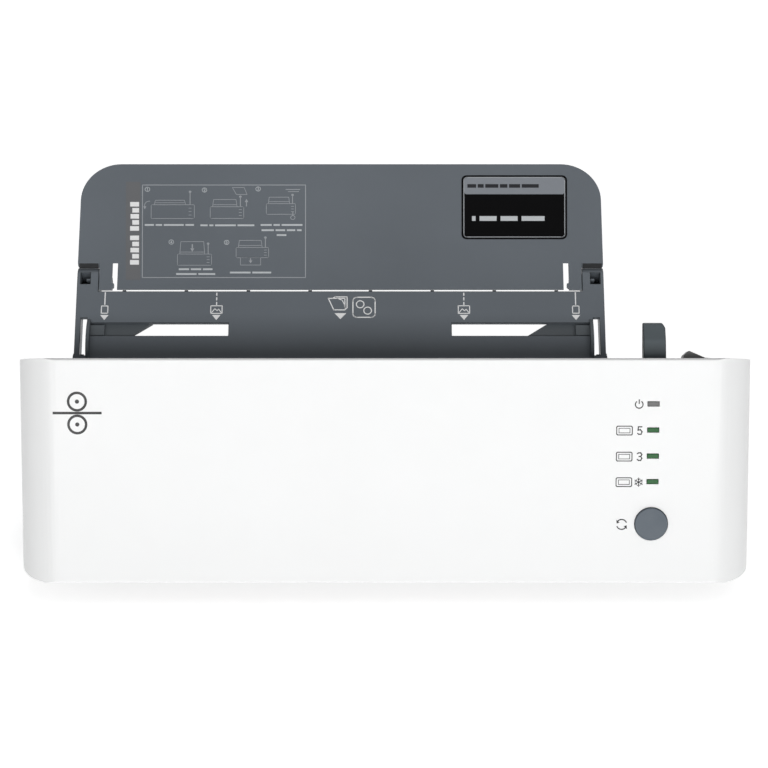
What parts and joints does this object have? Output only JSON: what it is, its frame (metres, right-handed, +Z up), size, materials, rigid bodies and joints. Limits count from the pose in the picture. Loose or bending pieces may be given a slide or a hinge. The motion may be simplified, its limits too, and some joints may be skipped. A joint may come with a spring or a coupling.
{
  "type": "pouch laminator",
  "caption": "Desktop pouch laminator: white leaning front with indicator lamps and a setting button, sloping dark deck with folding feed tray, release lever and power rocker.",
  "frame": {"origin": "middle of the bounding box footprint, on the surface that the feet stand on", "axes": "+X to the user's right along the machine, +Y to the back, +Z up"},
  "size_m": [0.35, 0.1582, 0.1656],
  "materials": {
    "white_shell": "smooth satin-gloss moulding",
    "dark_shell": "fine-textured moulding",
    "tray_plastic": "fine-textured moulding",
    "guide_plastic": "fine-textured moulding",
    "black_plastic": "plain moulding",
    "foot_rubber": "matt",
    "roller_silicone": "smooth silicone",
    "bright_steel": "zinc plated",
    "heater_aluminium": "rolled",
    "nylon": "natural nylon",
    "green_lens": "translucent lens",
    "grey_lens": "translucent lens",
    "circuit_board": "solder resist",
    "ceramic_body": "unglazed"
  },
  "bodies": {
    "body": {"front_cover": "white_shell", "rear_cover": "dark_shell", "base_tray": "black_plastic", "foot_1": "foot_rubber", "foot_2": "foot_rubber", "foot_3": "foot_rubber", "foot_4": "foot_rubber", "side_frame_left": "bright_steel", "side_frame_right": "bright_steel", "roller_bush_left": "nylon", "roller_bush_right": "nylon", "pressure_spring_left": "bright_steel", "pressure_spring_right": "bright_steel", "motor": "bright_steel", "motor_bracket": "bright_steel", "heater_plate_front": "heater_aluminium", "heater_plate_rear": "heater_aluminium", "input_guide_front": "black_plastic", "input_guide_rear": "black_plastic", "exit_guide": "black_plastic", "thermostat": "ceramic_body", "thermal_fuse": "ceramic_body", "power_led_window": "grey_lens", "mode_led_window_1": "green_lens", "mode_led_window_2": "green_lens", "mode_led_window_3": "green_lens", "control_board": "circuit_board", "tact_switch": "black_plastic", "rocker_switch_body": "black_plastic", "cord_grommet": "foot_rubber", "power_board": "circuit_board", "tray_pin_left": "bright_steel", "tray_pin_right": "bright_steel", "base_screw_1": "bright_steel", "base_screw_2": "bright_steel"},
    "lower_tray_body": {"lower_tray": "tray_plastic", "rack_cover": "black_plastic", "rack_cover_screw_1": "bright_steel", "rack_cover_screw_2": "bright_steel"},
    "flap_body": {"tray_flap": "tray_plastic", "flap_pin_left": "bright_steel", "flap_pin_right": "bright_steel"},
    "guide_left_body": {"guide_left": "guide_plastic"},
    "guide_right_body": {"guide_right": "guide_plastic"},
    "guide_pinion_body": {"guide_pinion": "nylon"},
    "lower_roller": {"lower_roller_sleeve": "roller_silicone", "lower_roller_shaft": "bright_steel", "lower_roller_gear": "nylon"},
    "roller_carriers": {"roller_carrier_left": "nylon", "roller_carrier_right": "nylon"},
    "upper_roller": {"upper_roller_sleeve": "roller_silicone", "upper_roller_shaft": "bright_steel", "upper_roller_gear": "nylon"},
    "motor_rotor": {"motor_pinion": "nylon"},
    "release": {"release_lever": "dark_shell", "release_shaft": "bright_steel", "release_cam_left": "nylon", "release_cam_right": "nylon"},
    "rocker": {"power_rocker": "black_plastic"},
    "button": {"setting_button": "dark_shell"}
  },
  "joints": [
    {"name": "tray_fold", "type": "hinge", "parent": "body", "child": "lower_tray_body", "pos_m": [-0.0222, 0.00359, 0.0873], "axis": [1, 0, 0], "range_deg": [0, 108]},
    {"name": "flap_fold", "type": "hinge", "parent": "lower_tray_body", "child": "flap_body", "pos_m": [-0.0222, 0.0369, 0.11684], "axis": [1, 0, 0], "range_deg": [-178, 0]},
    {"name": "guide_left_slide", "type": "slide", "parent": "lower_tray_body", "child": "guide_left_body", "axis": [1, 0, 0], "range_m": [0, 0.061]},
    {"name": "guide_right_slide", "type": "slide", "parent": "lower_tray_body", "child": "guide_right_body", "axis": [1, 0, 0], "range_m": [-0.061, 0]},
    {"name": "guide_pinion_turn", "type": "hinge", "parent": "lower_tray_body", "child": "guide_pinion_body", "pos_m": [-0.0222, 0.01411, 0.10004], "axis": [0, -0.6884, 0.7254], "range_deg": [-438, 0]},
    {"name": "lower_roller_spin", "type": "hinge", "parent": "body", "child": "lower_roller", "pos_m": [-0.0222, -0.02995, 0.04702], "axis": [1, 0, 0], "continuous": true},
    {"name": "motor_spin", "type": "hinge", "parent": "body", "child": "motor_rotor", "pos_m": [0.1175, -0.01411, 0.0385], "axis": [1, 0, 0], "continuous": true},
    {"name": "release_turn", "type": "hinge", "parent": "body", "child": "release", "pos_m": [0.1297, -0.03511, 0.08], "axis": [1, 0, 0], "range_deg": [-25, 0]},
    {"name": "roller_lift", "type": "slide", "parent": "body", "child": "roller_carriers", "axis": [0, -0.7157, 0.6984], "range_m": [0, 0.00109], "deforming": ["pressure_spring_left", "pressure_spring_right"]},
    {"name": "upper_roller_spin", "type": "hinge", "parent": "roller_carriers", "child": "upper_roller", "pos_m": [-0.0222, -0.04427, 0.06098], "axis": [1, 0, 0], "continuous": true},
    {"name": "rocker_tilt", "type": "hinge", "parent": "body", "child": "rocker", "pos_m": [0.1534, -0.0208, 0.0992], "axis": [0, 0.891, -0.454], "range_deg": [-28, 0]},
    {"name": "button_press", "type": "slide", "parent": "body", "child": "button", "axis": [0, 0.9563, -0.2924], "range_m": [0, 0.001], "stiffness_N_per_m": 400}
  ],
  "couplings": [
    {"joint": "flap_fold", "follows": "tray_fold", "ratio": -1.6481},
    {"joint": "guide_right_slide", "follows": "guide_left_slide", "ratio": -1},
    {"joint": "guide_pinion_turn", "follows": "guide_left_slide", "rad_per_m": -125},
    {"joint": "upper_roller_spin", "follows": "lower_roller_spin", "ratio": -1},
    {"joint": "motor_spin", "follows": "lower_roller_spin", "ratio": -1.25},
    {"joint": "release_turn", "follows": "roller_lift", "rad_per_m": -400}
  ]
}
